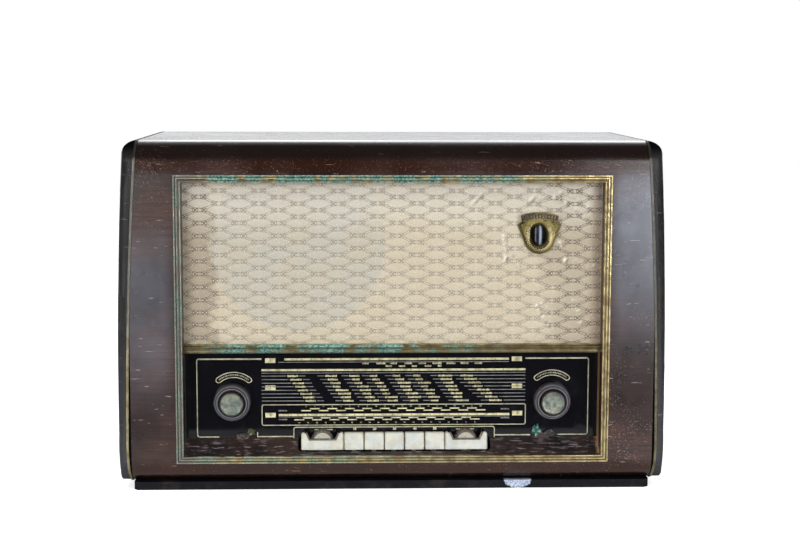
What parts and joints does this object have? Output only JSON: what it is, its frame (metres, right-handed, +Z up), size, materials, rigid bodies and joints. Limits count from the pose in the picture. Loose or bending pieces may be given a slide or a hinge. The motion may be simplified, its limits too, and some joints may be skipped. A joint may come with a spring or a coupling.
{
  "type": "table radio",
  "caption": "Wooden valve table radio with bowed sides, brass-framed speaker cloth, printed dial, double knobs, push keys and tone wheels.",
  "frame": {"origin": "middle of the footprint, on the table under the plinth", "axes": "+X to the right of someone facing the dial, +Y from the front into the cabinet, +Z up"},
  "size_m": [0.5598, 0.26, 0.358],
  "materials": {
    "lacquered_wood": "aged semi-gloss lacquer",
    "black_wood": "black paint, worn",
    "plain_wood": "unfinished plywood and softwood",
    "hardboard": "pressed hardboard",
    "brass": "tarnished, green patina",
    "cloth": "woven speaker cloth",
    "clear_glass": "clear, thin",
    "dial_print": "back-printed in black",
    "steel": "passivated steel",
    "painted_steel": "grey paint",
    "dark_core": "varnished laminations",
    "aluminium": "drawn cans",
    "ring_plastic": "dull grey-brown",
    "dark_plastic": "brown moulding powder",
    "ivory_plastic": "aged ivory",
    "rubber": "black rubber",
    "ferrite": "sintered, matt",
    "cord": "waxed cord",
    "cone_paper": "pressed paper"
  },
  "bodies": {
    "cabinet": {"back_battens": "plain_wood", "back_panel": "hardboard", "baffle_board": "plain_wood", "bottom_board": "plain_wood", "brass_bezel": "brass", "cabinet_wrap": "lacquered_wood", "chassis": "steel", "dial_back_plate": "painted_steel", "dial_cord": "cord", "dial_glass": "dial_print", "dial_lamps": "clear_glass", "dial_surround": "black_wood", "divider_bar": "brass", "eye_bracket": "steel", "eye_escutcheon": "brass", "eye_tube": "clear_glass", "ferrite_bracket": "steel", "glass_clips": "steel", "key_end_blocks": "ivory_plastic", "key_switch_unit": "dark_plastic", "mains_gland": "rubber", "mains_transformer": "dark_core", "output_transformer": "dark_core", "plinth": "black_wood", "potentiometers": "steel", "screening_cans": "aluminium", "side_cheek_left": "lacquered_wood", "side_cheek_right": "lacquered_wood", "side_piping": "brass", "smoothing_capacitor": "aluminium", "socket_panel": "dark_plastic", "speaker_basket": "painted_steel", "speaker_cloth": "cloth", "speaker_cone": "cone_paper", "speaker_magnet": "dark_core", "tuning_capacitor_frame": "steel", "valve_sockets": "dark_plastic", "valves": "clear_glass"},
    "tuning": {"tuning_knob": "dark_plastic", "tuning_knob_cap": "brass", "tuning_spindle": "steel"},
    "fm_ring": {"fm_tuning_ring": "ring_plastic"},
    "volume": {"volume_knob": "dark_plastic", "volume_knob_cap": "brass"},
    "aerial_dial": {"aerial_ring": "ring_plastic"},
    "ferrite": {"ferrite_rod": "ferrite"},
    "drum": {"cord_drum": "dark_plastic"},
    "rotor": {"tuning_capacitor_rotor": "aluminium"},
    "left_pulley": {"pulley_left": "dark_plastic"},
    "right_pulley": {"pulley_right": "dark_plastic"},
    "am_needle": {"am_pointer": "painted_steel"},
    "fm_needle": {"fm_pointer": "painted_steel"},
    "tone_left": {"thumb_wheel_left": "ring_plastic"},
    "tone_right": {"thumb_wheel_right": "ring_plastic"},
    "key_1": {"key_1": "ivory_plastic"},
    "key_2": {"key_2": "ivory_plastic"},
    "key_3": {"key_3": "ivory_plastic"},
    "key_4": {"key_4": "ivory_plastic"},
    "key_5": {"key_5": "ivory_plastic"}
  },
  "joints": [
    {"name": "tuning_turn", "type": "hinge", "parent": "cabinet", "child": "tuning", "pos_m": [0.165, -0.0872, 0.0893], "axis": [0, 1, 0], "range_deg": [0, 2083]},
    {"name": "fm_turn", "type": "hinge", "parent": "cabinet", "child": "fm_ring", "pos_m": [0.165, -0.1052, 0.0893], "axis": [0, 1, 0], "range_deg": [0, 1527]},
    {"name": "volume_turn", "type": "hinge", "parent": "cabinet", "child": "volume", "pos_m": [-0.165, -0.0872, 0.0893], "axis": [0, 1, 0], "range_deg": [0, 270]},
    {"name": "ferrite_turn", "type": "hinge", "parent": "cabinet", "child": "ferrite", "pos_m": [0.15, 0.0198, 0.297], "axis": [0, 0, 1], "range_deg": [-90, 90]},
    {"name": "aerial_turn", "type": "hinge", "parent": "cabinet", "child": "aerial_dial", "pos_m": [-0.165, -0.1052, 0.0893], "axis": [0, 1, 0], "range_deg": [-90, 90]},
    {"name": "drum_turn", "type": "hinge", "parent": "cabinet", "child": "drum", "pos_m": [0.02, -0.0872, 0.097], "axis": [0, 1, 0], "range_deg": [0, 339]},
    {"name": "rotor_turn", "type": "hinge", "parent": "cabinet", "child": "rotor", "pos_m": [0.02, -0.0492, 0.097], "axis": [0, 1, 0], "range_deg": [0, 180]},
    {"name": "left_pulley_turn", "type": "hinge", "parent": "cabinet", "child": "left_pulley", "pos_m": [-0.19, -0.0872, 0.14], "axis": [0, 1, 0], "range_deg": [0, 2083]},
    {"name": "right_pulley_turn", "type": "hinge", "parent": "cabinet", "child": "right_pulley", "pos_m": [0.19, -0.0872, 0.14], "axis": [0, 1, 0], "range_deg": [0, 2083]},
    {"name": "am_travel", "type": "slide", "parent": "cabinet", "child": "am_needle", "axis": [1, 0, 0], "range_m": [0, 0.24]},
    {"name": "fm_travel", "type": "slide", "parent": "cabinet", "child": "fm_needle", "axis": [1, 0, 0], "range_m": [0, 0.24]},
    {"name": "tone_left_turn", "type": "hinge", "parent": "cabinet", "child": "tone_left", "pos_m": [-0.0723, -0.1092, 0.0491], "axis": [0, 1, 0], "range_deg": [-135, 135]},
    {"name": "tone_right_turn", "type": "hinge", "parent": "cabinet", "child": "tone_right", "pos_m": [0.0756, -0.1092, 0.0491], "axis": [0, 1, 0], "range_deg": [-135, 135]},
    {"name": "key_1_press", "type": "hinge", "parent": "cabinet", "child": "key_1", "pos_m": [-0.03995, -0.0752, 0.034], "axis": [1, 0, 0], "range_deg": [0, 4.8], "stiffness_Nm_per_rad": 1.2, "springref_deg": -3.44},
    {"name": "key_2_press", "type": "hinge", "parent": "cabinet", "child": "key_2", "pos_m": [-0.01915, -0.0752, 0.034], "axis": [1, 0, 0], "range_deg": [0, 4.8], "stiffness_Nm_per_rad": 1.2, "springref_deg": -3.44},
    {"name": "key_3_press", "type": "hinge", "parent": "cabinet", "child": "key_3", "pos_m": [0.00165, -0.0752, 0.034], "axis": [1, 0, 0], "range_deg": [0, 4.8], "stiffness_Nm_per_rad": 1.2, "springref_deg": -3.44},
    {"name": "key_4_press", "type": "hinge", "parent": "cabinet", "child": "key_4", "pos_m": [0.02245, -0.0752, 0.034], "axis": [1, 0, 0], "range_deg": [0, 4.8], "stiffness_Nm_per_rad": 1.2, "springref_deg": -3.44},
    {"name": "key_5_press", "type": "hinge", "parent": "cabinet", "child": "key_5", "pos_m": [0.04325, -0.0752, 0.034], "axis": [1, 0, 0], "range_deg": [0, 4.8], "stiffness_Nm_per_rad": 1.2, "springref_deg": -3.44}
  ],
  "couplings": [
    {"joint": "drum_turn", "follows": "tuning_turn", "ratio": 0.16256},
    {"joint": "rotor_turn", "follows": "tuning_turn", "ratio": 0.0864},
    {"joint": "left_pulley_turn", "follows": "tuning_turn", "ratio": 1},
    {"joint": "right_pulley_turn", "follows": "tuning_turn", "ratio": 1},
    {"joint": "am_travel", "follows": "tuning_turn", "m_per_rad": 0.0066},
    {"joint": "fm_travel", "follows": "fm_turn", "m_per_rad": 0.009},
    {"joint": "aerial_turn", "follows": "ferrite_turn", "ratio": 1}
  ]
}
